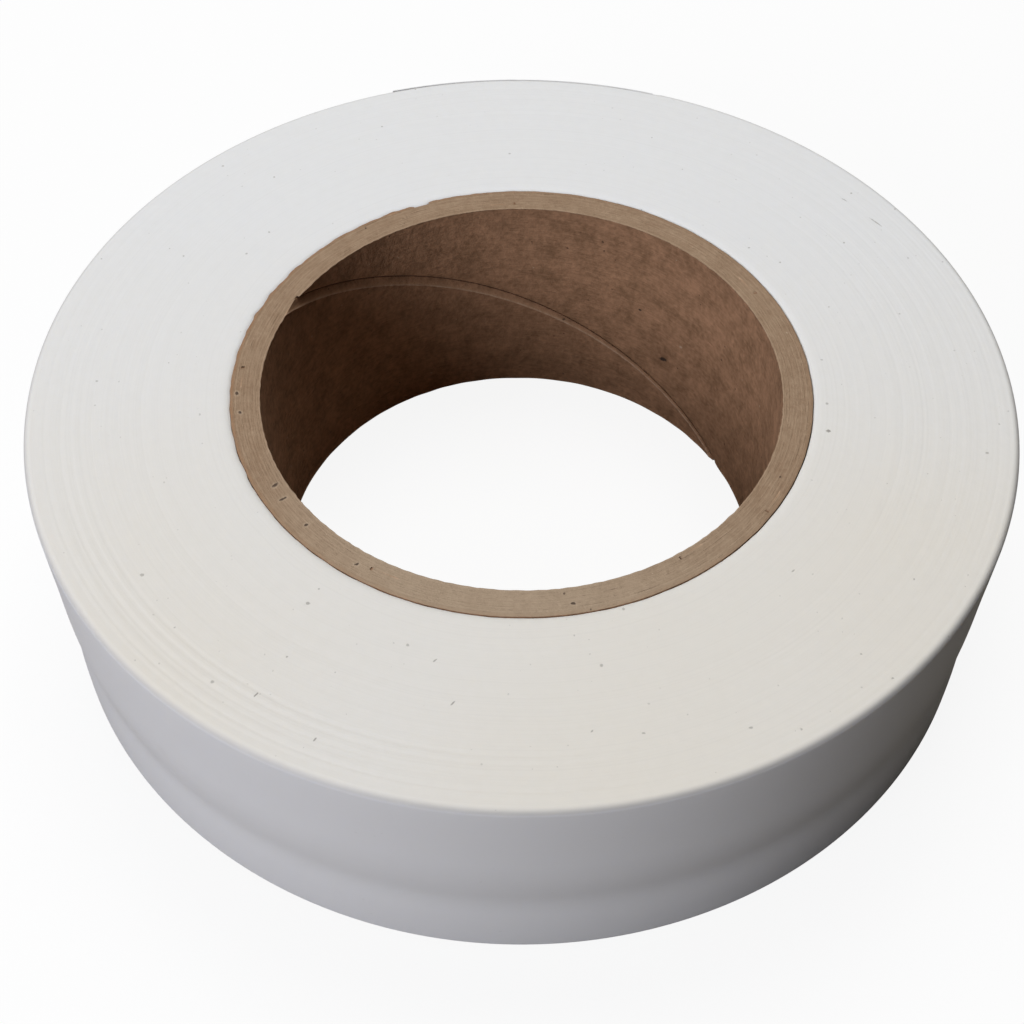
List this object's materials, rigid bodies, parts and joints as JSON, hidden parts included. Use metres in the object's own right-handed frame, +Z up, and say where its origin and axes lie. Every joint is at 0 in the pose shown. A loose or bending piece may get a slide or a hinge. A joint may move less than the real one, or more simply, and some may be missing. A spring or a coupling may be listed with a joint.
{
  "type": "tree guard film roll",
  "caption": "Flat roll of white plastic tree guard film wound on a spiral-wound paperboard core, with a free end held down by an adhesive tab.",
  "frame": {"origin": "centre of the bore at the bottom face that the roll lies on", "axes": "+Z up along the bore; the free end of the film is on the +Y side and runs from +X towards -X"},
  "size_m": [0.1437, 0.144, 0.038],
  "materials": {
    "guard_film": "satin",
    "kraft_liner": "matte",
    "kraft_board": "matte",
    "mounting_tape": "satin",
    "closing_tape": "gloss"
  },
  "bodies": {
    "roll": {"core_liner_ply": "kraft_liner", "core_ply_2": "kraft_board", "core_ply_3": "kraft_board", "core_ply_4": "kraft_board", "core_ply_5": "kraft_board", "core_ply_6": "kraft_board", "core_ply_7": "kraft_board", "core_outer_ply": "kraft_board", "start_tape": "mounting_tape", "film_pack": "guard_film"},
    "tail": {"film_tail": "guard_film", "closing_tab": "closing_tape"}
  },
  "joints": [
    {"name": "tail_lift", "type": "hinge", "parent": "roll", "child": "tail", "pos_m": [0.02213, 0.06859, 0], "axis": [0, 0, -1], "range_deg": [0, 120]}
  ]
}
